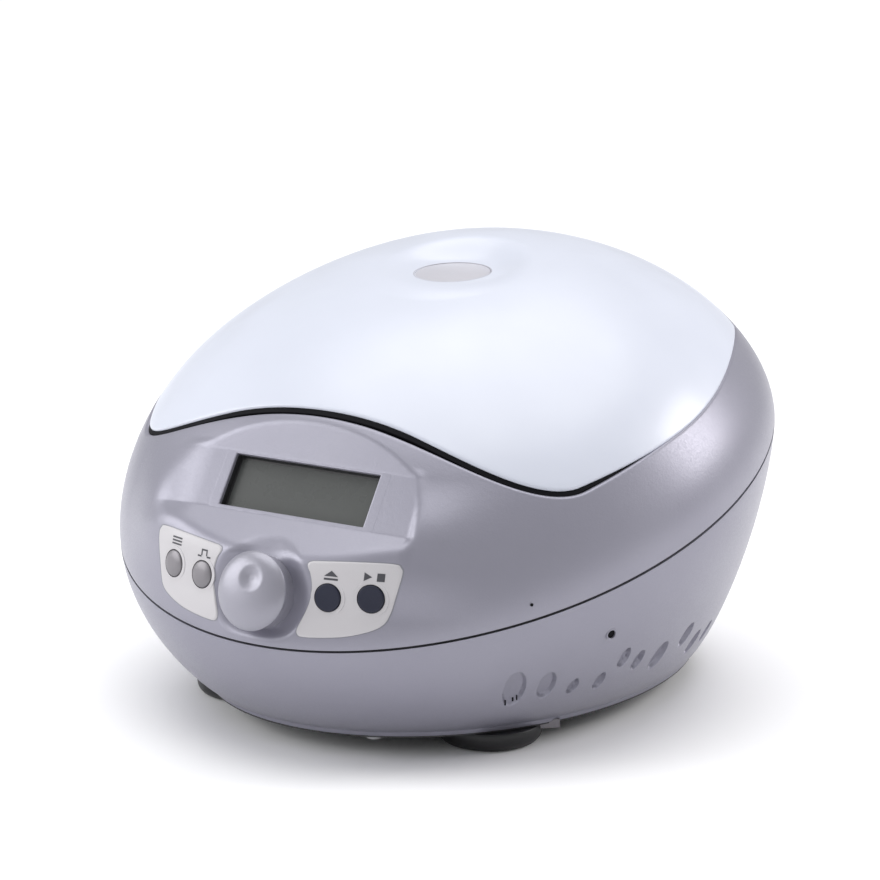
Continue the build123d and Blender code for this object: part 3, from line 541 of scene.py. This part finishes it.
# The bowl turns inwards at the seam and rounds under at the bottom edge.
seam, low = base_rows[0], base_rows[-1]
seam_n = unit(np.stack([seam[:, 0] / HALF_W ** 2, seam[:, 1] / HALF_D ** 2, 0 * turns_b], -1))
low_n = unit(np.stack([low[:, 0], low[:, 1], 0 * turns_b], -1))
upper = [seam - seam_n * inset - UP * fall for inset, fall in ((2.6, 0), (0.75, 0), (0.25, 0.15))]
lower = [low - low_n * inset - UP * fall for inset, fall in ((0.3, 0.9), (0.45, 1.5), (0.7, 1.7))]
rows = np.array([*upper, *base_rows, *lower])
x, y, z = np.moveaxis(cell_centres(rows), -1, 0)
pocket = (np.abs(x) < 46.4) & (np.abs(z - POCKET_Z) < 20.4) & (y > 60)
release = np.linalg.norm(cell_centres(rows) - RELEASE, axis=-1) < 1.75
base = grid("base_skin", rows, flip=True, drop=pocket | release)
keep(base, "chassis", "base", SILVER_BASE, "base_shell")


def rear_y(x, z):
    """Where the rear of the base stands at x, z."""
    y, turn = np.full_like(x, 118.0), np.full_like(x, pi / 2)
    for _ in range(HALVINGS):
        s = (SEAM_Z - SEAM_GAP + RISE * y - z) / (SEAM_Z - SEAM_GAP - BOWL_FOOT_Z + RISE * y)
        loss = bowl_loss(turn, s)
        turn = np.arccos(np.clip(x / (HALF_W * (1 - BOWL_LOSS_X * loss)), -1, 1))
        y = HALF_D * (1 - BOWL_LOSS_Y * loss) * np.sin(turn) + BOWL_SHIFT * s
    return y


def pocket_loop(grow, lift=None, y=None, r=3.0):
    """A rounded rectangle round the pocket, at a lift over the base or at a fixed y."""
    pts = []
    for sx, sz, a in corner_angles(7):
        pts.append((sx * (POCKET_HALF_X - r) + (r + grow) * cos(a),
                    POCKET_Z + sz * (POCKET_HALF_Z - r) + (r + grow) * sin(a)))
    pts = np.array(pts + [pts[0]])
    dense = np.concatenate([np.linspace(a, b, 24, endpoint=False) for a, b in zip(pts[:-1], pts[1:])])
    x, z = dense[:, 0], dense[:, 1]
    return np.stack([x, rear_y(x, z) + lift if y is None else np.full_like(x, y), z], -1)


tray = [pocket_loop(*step) for step in ((1.9, -0.3), (1.8, 0.22), (0.3, 0.3), (0.0, 0.1), (0.0, -0.6))]
tray.append(pocket_loop(0.0, y=POCKET_Y))
keep(grid("rear_pocket", tray, flip=True), "chassis", "base", SILVER_BASE)

# The pocket's floor, in rectangles round the switch and the inlet.
wall, faces = [], []
for x0, x1, z0, z1 in ((-46, -36.2, 20, 60), (-36.2, -3.8, 20, 21.8), (-36.2, -3.8, 58.2, 60),
                       (-3.8, 17, 20, 60), (17, 31, 20, 29.6), (17, 31, 50.4, 60), (31, 46, 20, 60)):
    faces.append([len(wall) + i for i in range(4)])
    wall += [(x0, 106, z0), (x0, 106, z1), (x1, 106, z1), (x1, 106, z0)]
keep(mesh("rear_pocket_wall", wall, faces), "chassis", "base", SILVER_BASE)

# The hole for the emergency release: a collar and a bore painted near-black, painted shade inside the hole.
n = unit(np.array((RELEASE[0] / HALF_W ** 2, RELEASE[1] / HALF_D ** 2, -0.0016)))
profile = [(2.3, -0.3), (2.2, 0.02), (1.8, 0.02), (1.6, -0.15), (1.55, -0.5), (1.55, -0.9)]
collar = lathe("release_collar", profile, RELEASE, n, 40, cap=False)
keep(collar, "chassis", "base", SILVER_BASE)
bore_shade = lathe("release_bore_shade", [(1.56, -0.7), (1.56, -3.9), (0.05, -4.0)], RELEASE, n, 40)
keep(bore_shade, "chassis", "black_plastic", GAP_SHADE_AND_MARK)

# Three drain slits in the largest vent, each a small upright near-black plate on the nearest point of the
# base, painted shade in place of the slit's opening.
vent = np.array(VENTS[0][:3])
n = side_normal(vent)
across = np.array((-n[1], n[0], 0.0))
spots, faces = [], []
for a, b in ((-1.9, -6.2), (1.2, -5.2), (2.2, -4.6)):
    aside = off_axis(base_rows, vent + across * a + UP * b, n)[1]
    aside = aside + 1000 * (base_rows @ n < 60)
    near = base_rows[np.unravel_index(aside.argmin(), aside.shape)]
    faces.append([len(spots) + i for i in range(4)])
    for i, j in ((-1, -1), (1, -1), (1, 1), (-1, 1)):
        spots.append(near + n * 0.35 + across * i * 0.3 + UP * j)
keep(mesh("drain_slit_shade", spots, faces), "chassis", "black_plastic", GAP_SHADE_AND_MARK)

# A pin mark on the housing and a clip under the edge.
pin_at, pin_n = np.array((89.6, -88.5, 63.5)), unit(np.array((0.62, -0.6, -0.05)))
pin = lathe("pin_mark", [(0.6, 0.12), (0.05, 0.14)], pin_at, pin_n, 20)
keep(pin, "chassis", "black_plastic", GAP_SHADE_AND_MARK)
plan = ((69.5, -56), (78, -48), (76, -46), (67.5, -54))
clip = [(x, y, z) for z in (5.4, 8.6) for x, y in plan]
box = [[3, 2, 1, 0], [4, 5, 6, 7], [0, 1, 5, 4], [1, 2, 6, 5], [2, 3, 7, 6], [3, 0, 4, 7]]
keep(mesh("edge_clip", clip, box), "chassis", "plated_steel", GREY_BUTTON)

# ---------------------------------------------------------------- feet, wide above and narrow on the bench
FOOT_X, FOOT_Y = 54, 57.5
screw_well = [(2.2, 3.0), (4.0, 3.0), (4.1, 0.9), (4.8, 0.35), (11.0, 0.0)]
outside = curve_profile([(15.5, 0.02), (17.2, 0.5), (18.7, 2.2), (19.3, 4.4), (19.3, 6.2), (19.0, 7.1)])
for end_name, sy in (("front", -1), ("rear", 1)):
    for side_name, sx in (("left", -1), ("right", 1)):
        node = f"foot_{end_name}_{side_name}"
        at = np.array((sx * FOOT_X, sy * FOOT_Y, 0.0))
        pad = lathe(f"{node}_pad", [*screw_well, *outside, (2.2, 7.15)], at, UP)
        keep(pad, "chassis", "feet", FEET, node)

# ---------------------------------------------------------------- label panels
# The right label's outline, and where each button stands, as x and z seen from the front.
LABEL_OUTLINE = [(20.4, 76.6), (34, 77.6), (48.6, 78.0), (51.6, 76.8), (52.2, 74.0), (50.6, 66), (49.2, 60.4),
                 (47.4, 57.0), (43.5, 54.6), (36, 52.3), (28, 51.1), (19.6, 50.5), (17.4, 51.3), (17.2, 53.4),
                 (19.0, 58.0), (20.6, 63.0), (21.0, 68), (20.0, 72.2), (18.6, 74.6), (18.8, 76.0)]
BUTTONS = {
    "button_select": (-41.8, 66.1), "button_pulse": (-26.6, 65.2),
    "button_lid": (27.3, 64.8), "button_run": (42.6, 65.7),
}
BUTTON_HOLE_R = 5.3


def face_y(x, z):
    """Where the dome's front stands at x, z, found by repeated averaging."""
    y = np.full_like(x, -131.0)
    for _ in range(60):
        h = np.clip((z - SEAM_Z - RISE * y) / DOME_H, 0, 1)
        turn = np.arctan2((y + lean(h)) / HALF_D, x / HALF_W)
        g = (1 - h ** mixed(DOME_P, turn)) ** (1 / mixed(DOME_Q, turn))
        want = -HALF_D * np.sqrt(np.maximum(g * g - (x / HALF_W) ** 2, 0)) - lean(h)
        y = 0.5 * y + 0.5 * want
    return y


def front_point(x, z):
    """The housing's finished front at x, z; panel() moves points, so the start is corrected a few times."""
    from_x, from_z = x, z
    q = panel(np.stack([x, face_y(x, z), z], -1))
    for _ in range(4):
        from_x, from_z = from_x + (x - q[..., 0]), from_z + (z - q[..., 2])
        q = panel(np.stack([from_x, face_y(from_x, from_z), from_z], -1))
    return q


def front_spot(x, z):
    """front_point for a single place."""
    return front_point(np.array([x]), np.array([z]))[0]


def patch(name, outline, lift, depth, rings=56, rounding=0.25, ring_only=False):
    """A thin film lying on the front, its edge turned in, with holes for the buttons."""
    loop = np.array(curve_profile([*outline, outline[0]], 12))[:-1]
    c = loop.mean(0)
    rows = []
    for t in [*np.linspace(0.02, 0.97, rings), 1.0]:
        xz = c + (loop - c) * t
        p = front_point(xz[:, 0], xz[:, 1])
        n = unit(p * (1 / HALF_W ** 2, 1 / HALF_D ** 2, 0) + (0, 0, 0.0032))
        rows.append(p + n * (lift - rounding * (t > 0.99)))
    rows.append(rows[-1] - n * depth)
    # Both sides' films face outwards, whichever way their outline runs.
    if np.sign(loop[1:-1, 0] * loop[2:, 1] - loop[2:, 0] * loop[1:-1, 1]).sum() > 0:
        rows = [r[::-1] for r in rows]
    rows = np.array(rows)
    mid = cell_centres(rows)
    gone = np.zeros(mid.shape[:2], bool)
    for x, z in BUTTONS.values():
        gone |= np.linalg.norm(mid - front_spot(x, z), axis=-1) < BUTTON_HOLE_R
    if ring_only:
        gone |= (np.arange(len(mid)) < 0.9 * rings)[:, None]
    return grid(name, rows, cap=not ring_only, drop=gone)


# Each label: its film, and just outside it a darker ring that is painted shadow along the label's edge.
for side, word in ((1, "right"), (-1, "left")):
    outline = [(side * x, z) for x, z in LABEL_OUTLINE]
    c = np.mean(outline, 0)
    wide = [tuple(c + (np.array(p) - c) * 1.024) for p in outline]
    under = patch(f"label_shadow_line_{word}", wide, 0.06, 0.3, rounding=0.0, ring_only=True)
    keep(under, "chassis", "labels", LABEL_SHADOW_LINE)
    film = patch(f"label_film_{word}", outline, 0.30, 0.3)
    keep(film, "chassis", "labels", LABEL, f"label_panel_{word}")


# ---------------------------------------------------------------- buttons
def film_normal(x, z):
    """Outward direction of the front round x, z, over 10 mm."""
    left, right, low, high = front_point(np.array([x - 5, x + 5, x, x]), np.array([z, z, z - 5, z + 5]))
    return unit(np.cross(right - left, high - low))


# Profiles of the domed grey caps and the flat dark ones, the near-black ring in each hole, painted shade of
# the gap round the cap, and the washer round it.
CAPS = {
    "grey": [(0.02, 1.0), (2.2, 0.88), (3.9, 0.5), (4.7, 0.1), (4.85, -0.6)],
    "dark": [(0.02, 0.42), (2.3, 0.46), (4.1, 0.5), (4.6, 0.4), (4.8, 0.0), (4.85, -0.8)],
}
CAP_FOOT = (4.85, -5.0)
GAP_SHADE_RING = [(4.92, -6.0), (4.92, -0.1), (5.02, 0.03), (5.08, -0.05), (5.08, -0.5)]
WASHER = [(5.06, -0.6), (5.06, -0.09), (6.4, -0.11), (6.5, -0.35), (6.5, -0.6)]
PAINTS = {"grey": GREY_BUTTON, "dark": DARK_BUTTON}
for node, body, look in (("button_select", "select", "grey"), ("button_pulse", "pulse", "grey"),
                         ("button_lid", "lid_button", "dark"), ("button_run", "run", "dark")):
    x, z = BUTTONS[node]
    n = film_normal(x, z)
    at = front_spot(x, z) + n * 0.42
    profile = [CAP_FOOT, *curve_profile(CAPS[look])[::-1]]
    keep(lathe(f"{node}_cap", profile, at, n, 64), body, f"buttons_{look}", PAINTS[look], node)
    gap_shade_ring = lathe(f"{node}_surround", GAP_SHADE_RING, at, n, 64, cap=False)
    keep(gap_shade_ring, "chassis", "black_plastic", GAP_SHADE_AND_MARK)
    washer = lathe(f"{node}_washer", WASHER, at, n, 64, cap=False)
    keep(washer, "chassis", "labels", LABEL)


# ---------------------------------------------------------------- symbols over the buttons
def bar(x0, z0, x1, z1):
    """A rectangle's corners."""
    return [(x0, z0), (x1, z0), (x1, z1), (x0, z1)]


# Where each symbol stands and its shapes: a list, a pulse, an open lid, start and stop.
SYMBOLS = {
    "select": (-41.0, 74.3, [bar(-2.6, d - 0.3, 2.6, d + 0.3) for d in (-1.1, 0, 1.1)]),
    "pulse": (-26.2, 72.6, [bar(-3.2, -1.4, -1.3, -0.8), bar(-1.5, -0.8, -0.9, 0.9), bar(-1.5, 0.9, 1.5, 1.5),
                            bar(0.9, -0.8, 1.5, 0.9), bar(1.3, -1.4, 3.2, -0.8)]),
    "lid": (27.9, 72.4, [bar(-2.6, -1.5, 2.6, -0.8), [(-2.6, -0.2), (2.6, -0.2), (0, 1.8)]]),
    "run": (43.2, 73.2, [[(-3.6, -1.5), (-0.8, 0), (-3.6, 1.5)], bar(0.9, -1.4, 3.6, 1.4)]),
}
for word, (x, z, shapes) in SYMBOLS.items():
    points, faces = [], []
    for shape in shapes:
        faces.append(list(range(len(points), len(points) + len(shape))))
        points += [(x + dx, z + dz) for dx, dz in shape]
    points = np.array(points)
    spots = front_point(points[:, 0], points[:, 1]) + film_normal(x, z) * 0.36
    keep(mesh(f"symbol_{word}", spots, faces), "chassis", "labels", INK)

# ---------------------------------------------------------------- knob with a finger dimple
KNOB_U = np.array((1.0, 0, 0))
KNOB_W = np.cross(KNOB_U, -KNOB_N)
KNOB_W = KNOB_W if KNOB_W[2] > 0 else -KNOB_W
a = np.linspace(0, 2 * pi, 160, endpoint=False)
rows = []
crown = [(0.02, 5.2), (4, 5.05), (7.5, 4.6), (10.6, 3.75), (12.8, 2.5), (14.0, 1.0),
         (14.0, -0.1), (13.4, -1.4), (13.0, -3.5)]
DIMPLE_U, DIMPLE_W, DIMPLE_DEPTH = 1.4, 4.6, 1.1
for r, h in [*curve_profile(crown, 14), (13.0, -8.0)]:
    u, w = r * np.cos(a), r * np.sin(a)
    d = np.hypot(u - DIMPLE_U, w - DIMPLE_W)
    dip = DIMPLE_DEPTH * (1 - smooth(0.6, 5.3, d)) * (h > 2)
    rows.append(KNOB_O + u[:, None] * KNOB_U + w[:, None] * KNOB_W + (h - dip)[:, None] * KNOB_N)
knob = grid("knob_cap", rows[::-1], cap=True)
keep(knob, "control_knob", "knob", SILVER_KNOB, "knob")

# ---------------------------------------------------------------- display frame, well and lens
def on_screen(u, v, d):
    """A point of the display plane, lifted by d."""
    return SCREEN_O + u * np.array((1.0, 0, 0)) + v * SCREEN_V + d * SCREEN_N


def rect_rings(*sizes):
    """Rounded rectangles on the display plane, each from its half sizes, lift and corner radius."""
    rings = []
    for half_u, half_v, d, r in sizes:
        rings.append([on_screen(su * (half_u - r) + r * cos(a), sv * (half_v - r) + r * sin(a), d)
                      for su, sv, a in corner_angles(6)])
    return rings


frame_rows = rect_rings((35.4, 11.5, -0.03, 1.2), (35.2, 11.3, 0.02, 1.2), (35.0, 11.1, 0.02, 1.2),
                        (31.6, 10.5, 0.02, 0.7), (31.3, 10.3, 0.02, 0.5), (31.05, 10.1, -0.08, 0.4),
                        (30.95, 10.0, -0.4, 0.35), (30.95, 10.0, -1.3, 0.35))
keep(grid("display_window_frame", frame_rows), "chassis", "housing", SILVER)
# The well's black is partly the display's own black inner frame, partly painted shade on the recess walls.
well_rows = rect_rings((31.6, 10.6, -1.25, 0.4), (30.9, 9.95, -1.25, 0.35), (30.7, 9.8, -3.4, 0.3),
                       (30.0, 9.1, -3.45, 0.3), (29.9, 9.0, -3.9, 0.3))
keep(grid("display_well", well_rows), "chassis", "display_back", BLACK)
glass_rows = rect_rings((31, 10.2, -4.2, 0.3), (31, 10.2, -3.55, 0.3), (24, 6, -3.5, 0.3), (8, 2, -3.48, 0.3))
lens = grid("display_glass", glass_rows, cap=True)
keep(lens, "chassis", "display_glass", LENS, "display_lens", "display_module")

# ---------------------------------------------------------------- lid
turns_l = np.concatenate([np.arange(-160, -20, 0.5), np.arange(-20, 200, 0.8)]) * pi / 180
rim = dome(turns_l, lid_edge(turns_l, 0.0))
WIN_TILT, WIN_R = radians(4.5), 14.3
WIN_O = np.array((0, AXIS_Y, 157.5))
WIN_N = np.array((0, -sin(WIN_TILT), cos(WIN_TILT)))
LID_THICK, BEAD = 2.4, 1.1

# From the window to the rim, over the dome but sunk to a flat round the window.
spread = np.arctan2(rim[:, 1] - AXIS_Y, rim[:, 0])
inner = np.stack([WIN_R * np.cos(spread), AXIS_Y + WIN_R * np.sin(spread) * cos(WIN_TILT), 0 * spread], -1)
rho = np.concatenate([np.linspace(0, 0.30, 40), np.linspace(0.30, 1, 90)[1:]])
plan = inner[None] + (rim - inner)[None] * rho[:, None, None]
plan[..., 2] = dome_z(plan[..., 0], plan[..., 1])
plan[-1] = rim
along, r = off_axis(plan, WIN_O, WIN_N)
sink = 1 - smooth(14.6, 31.5, r)
outer = plan - WIN_N * (along * sink)[..., None]
lid_n = grid_normals(outer)
if lid_n[60, 0, 2] < 0:
    lid_n = -lid_n
step = unit(outer[-1] - outer[-3])
bead_start = outer[-1] - step * BEAD
bead = [bead_start + step * BEAD * sin(a) - lid_n[-1] * BEAD * (1 - cos(a))
        for a in np.radians((20, 40, 60, 80, 90))]
under = outer - lid_n * LID_THICK
window_edge = outer[0] - WIN_N * 2.2
rows = np.array([window_edge, *outer[:-2], bead_start, *bead, bead[-1] - lid_n[-1] * 1.3,
                 *under[::-1][2:], window_edge])
x, y, z = np.moveaxis(cell_centres(rows), -1, 0)
hinges = (np.abs(np.abs(x) - HINGE_X) < HINGE_HALF) & (y > 93) & (z < 154.2)
keep(grid("lid_skin", rows, drop=hinges), "lid", "lid", WHITE, "lid_shell")

# The skirt under the rim, a black rubber seal whose near-black reaches down into the gap as painted shade:
# how far in from the bead and how far down, with the gap's width in it.
gap = lid_gap(turns_l)[:, None]
SKIRT_SEAL_AND_GAP_SHADE = ((-0.3, -2.0), (-0.3, -0.6), (-0.1, gap * 0.62), (0.3, gap * 0.7), (2.2, gap * 0.7),
         (2.6, 6.5), (4.6, 6.5), (4.8, -1.0))
strip = [bead[-1] - lid_n[-1] * inset + step * fall for inset, fall in SKIRT_SEAL_AND_GAP_SHADE]
keep(grid("lid_seal_and_gap_shade", strip), "lid", "rubber", GAP_SHADE_AND_MARK)

# The window: a slightly domed pane, its trim and a hazy backing.
crown = curve_profile([(0.05, 0.3), (7, 0.24), (12, 0.06), (14.2, -0.1)], 6)
pane = lathe("window_glass", [*crown, (14.2, -2.0), (0.05, -2.0)], WIN_O, WIN_N)
keep(pane, "lid", "window", WINDOW, "window_pane")
profile = [(14.22, -2.0), (14.25, -0.3), (14.35, -0.02), (14.8, 0.05), (15.0, -0.05), (15.1, -0.6)]
trim = lathe("window_trim", profile, WIN_O, WIN_N, cap=False)
keep(trim, "lid", "window_ring", TRIM, "window_ring")
haze = lathe("window_haze", [(0.05, -3.2), (14.15, -3.2), (14.15, -2.1), (0.05, -2.1)], WIN_O, WIN_N)
keep(haze, "lid", "window_ring", HAZE)

# ---------------------------------------------------------------- camera, light, floor
cam = bpy.data.objects.new("camera", bpy.data.cameras.new("camera"))
bpy.context.collection.objects.link(cam)
cam.data.lens, cam.data.sensor_width, cam.data.clip_end = 132.86, 36.0, 20.0
cam.location = (0.63791, -1.02171, 0.38073)
az, el = radians(32.12), radians(13.436)
looks_along = Vector((-sin(az) * cos(el), cos(az) * cos(el), -sin(el)))
cam.rotation_euler = looks_along.to_track_quat("-Z", "Y").to_euler()
bpy.context.scene.camera = cam


def softbox(name, at, size, power, tint=(1, 1, 1), aim=(0, 0, 0.08)):
    """A rectangular lamp in metres and watts, turned to aim at the object."""
    light = bpy.data.lights.new(name, "AREA")
    light.shape, light.size, light.size_y = "RECTANGLE", size[0], size[1]
    light.energy, light.color = power, tint
    obj = bpy.data.objects.new(name, light)
    obj.location = at
    obj.rotation_euler = (Vector(aim) - Vector(at)).to_track_quat("-Z", "Y").to_euler()
    bpy.context.collection.objects.link(obj)


softbox("key", (-1.15, -0.80, 0.65), (1.1, 0.9), 12.5)
softbox("rim", (0.95, 0.75, 0.75), (0.5, 0.7), 9.0, (1.0, 0.98, 0.97))
sun = bpy.data.lights.new("overhead", "SUN")
sun.energy, sun.angle = 2.05, radians(60)
lamp = bpy.data.objects.new("overhead", sun)
lamp.rotation_euler = (radians(-8), radians(-6), 0)
bpy.context.collection.objects.link(lamp)
world = bpy.data.worlds.new("studio")
bpy.context.scene.world = world
world.use_nodes = True
back = world.node_tree.nodes["Background"]
back.inputs["Color"].default_value = (0.98, 0.99, 1.0, 1)
back.inputs["Strength"].default_value = 0.47

FLOOR_HALF, FLOOR_Z = 9000, -0.05
corners = [(sx * FLOOR_HALF, sy * FLOOR_HALF, FLOOR_Z) for sx, sy in ((-1, -1), (1, -1), (1, 1), (-1, 1))]
floor = mesh("floor", corners, [[0, 1, 2, 3]])
paper = Nodes("paper")
paper.set(Roughness=0.9, Specular_IOR_Level=0.1)
paper.colour(paper.ramp(paper.noise(3.0), (0.3, (0.90, 0.90, 0.91)), (0.7, (0.93, 0.93, 0.94))))
floor.data.materials.append(paper.mat)

bpy.context.scene.view_settings.view_transform = "Standard"
